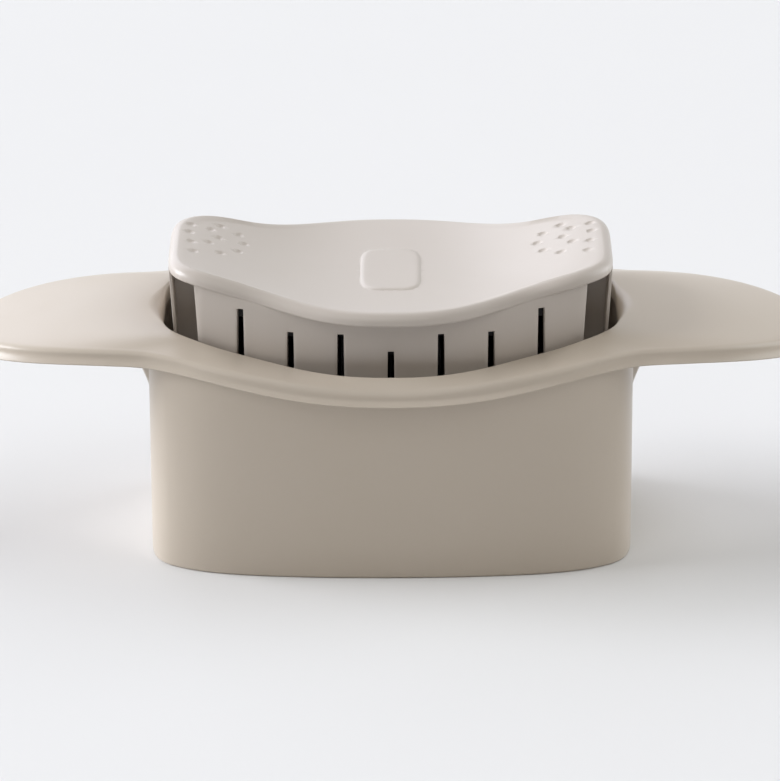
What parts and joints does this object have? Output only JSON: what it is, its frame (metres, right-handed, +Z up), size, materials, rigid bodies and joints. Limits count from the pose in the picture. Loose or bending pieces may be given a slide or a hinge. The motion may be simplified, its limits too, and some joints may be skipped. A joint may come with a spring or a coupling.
{
  "type": "hasselback potato slicer",
  "caption": "Hand-pressed hasselback potato slicer: winged housing holding upright blades, with a slotted, dished plunger plate that slides up with the potato and pushes it out.",
  "frame": {"origin": "middle of the housing's foot, on the surface it stands on", "axes": "+X from wing to wing, +Y towards the back, +Z up along the plunger's travel; the front in the picture is -Y"},
  "size_m": [0.25, 0.098, 0.0881],
  "materials": {
    "housing_plastic": "satin warm beige",
    "plunger_plastic": "satin warm beige",
    "rail_plastic": "satin charcoal",
    "blade_steel": "brushed, ground edge",
    "screw_steel": "turned"
  },
  "bodies": {
    "housing_body": {"housing": "housing_plastic", "front_blade_rail": "rail_plastic", "rear_blade_rail": "rail_plastic", "blade_1": "blade_steel", "blade_2": "blade_steel", "blade_3": "blade_steel", "blade_4": "blade_steel", "blade_5": "blade_steel", "blade_6": "blade_steel", "blade_7": "blade_steel", "rail_screws": "screw_steel"},
    "plunger": {"plunger_shell": "plunger_plastic", "pusher_comb": "rail_plastic", "comb_screws": "screw_steel", "left_stop_clip": "rail_plastic", "right_stop_clip": "rail_plastic", "clip_screws": "screw_steel"}
  },
  "joints": [
    {"name": "plunger_slide", "type": "slide", "parent": "housing_body", "child": "plunger", "axis": [0, 0, 1], "range_m": [-0.0187, 0.028]}
  ]
}
